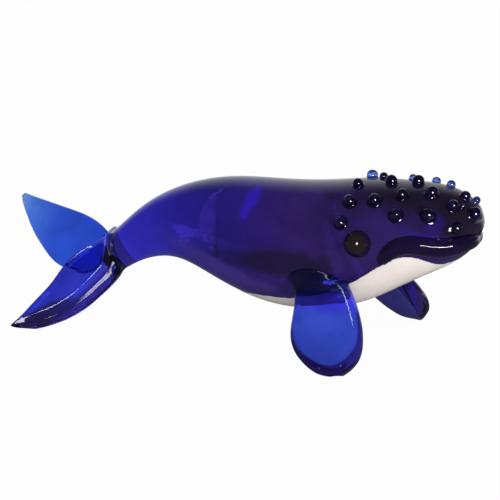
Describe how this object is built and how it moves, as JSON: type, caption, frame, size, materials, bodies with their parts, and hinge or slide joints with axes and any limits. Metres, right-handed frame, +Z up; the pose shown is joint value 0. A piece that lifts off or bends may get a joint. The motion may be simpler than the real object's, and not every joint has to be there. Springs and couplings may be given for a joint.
{
  "type": "whale figurine",
  "caption": "Solid glass whale ornament with a white belly strip, paddle flippers and raised tubercles, resting on both flippers and a fluke tip.",
  "frame": {"origin": "middle of the footprint's bounding box, on the surface that the whale stands on", "axes": "+X towards the nose, +Y towards the whale's left side, +Z up"},
  "size_m": [0.1616, 0.07, 0.0553],
  "materials": {
    "body_glass": "deep cobalt blue, violet where thick, fire-polished",
    "opal_glass": "opaque white opal, fire-polished",
    "lip_glass": "deep cobalt blue, fire-polished",
    "flipper_glass": "clear cobalt blue with pressed ripples, fire-polished",
    "thick_fluke_glass": "clear cobalt blue, fire-polished",
    "thin_fluke_glass": "clear cobalt blue, thin, fire-polished",
    "eye_casing_glass": "clear cobalt blue, fire-polished",
    "eye_pupil_glass": "near-black olive, fire-polished",
    "tubercle_glass": "clear cobalt blue, fire-polished"
  },
  "bodies": {
    "root": {"body": "body_glass", "crown_tubercle_1": "tubercle_glass", "crown_tubercle_10": "tubercle_glass", "crown_tubercle_2": "tubercle_glass", "crown_tubercle_3": "tubercle_glass", "crown_tubercle_4": "tubercle_glass", "crown_tubercle_5": "tubercle_glass", "crown_tubercle_6": "tubercle_glass", "crown_tubercle_7": "tubercle_glass", "crown_tubercle_8": "tubercle_glass", "crown_tubercle_9": "tubercle_glass", "left_brow_tubercle_1": "tubercle_glass", "left_brow_tubercle_2": "tubercle_glass", "left_brow_tubercle_3": "tubercle_glass", "left_brow_tubercle_4": "tubercle_glass", "left_cheek_tubercle_1": "tubercle_glass", "left_cheek_tubercle_2": "tubercle_glass", "left_cheek_tubercle_3": "tubercle_glass", "left_eye_casing": "eye_casing_glass", "left_eye_pupil": "eye_pupil_glass", "left_flipper": "flipper_glass", "left_fluke": "thin_fluke_glass", "left_snout_tubercle_1": "tubercle_glass", "left_snout_tubercle_2": "tubercle_glass", "left_snout_tubercle_3": "tubercle_glass", "lower_lip": "lip_glass", "right_brow_tubercle_1": "tubercle_glass", "right_brow_tubercle_2": "tubercle_glass", "right_brow_tubercle_3": "tubercle_glass", "right_brow_tubercle_4": "tubercle_glass", "right_cheek_tubercle_1": "tubercle_glass", "right_cheek_tubercle_2": "tubercle_glass", "right_cheek_tubercle_3": "tubercle_glass", "right_eye_casing": "eye_casing_glass", "right_eye_pupil": "eye_pupil_glass", "right_flipper": "flipper_glass", "right_fluke": "thick_fluke_glass", "right_snout_tubercle_1": "tubercle_glass", "right_snout_tubercle_2": "tubercle_glass", "right_snout_tubercle_3": "tubercle_glass", "right_snout_tubercle_4": "tubercle_glass", "white_belly": "opal_glass"}
  },
  "joints": []
}
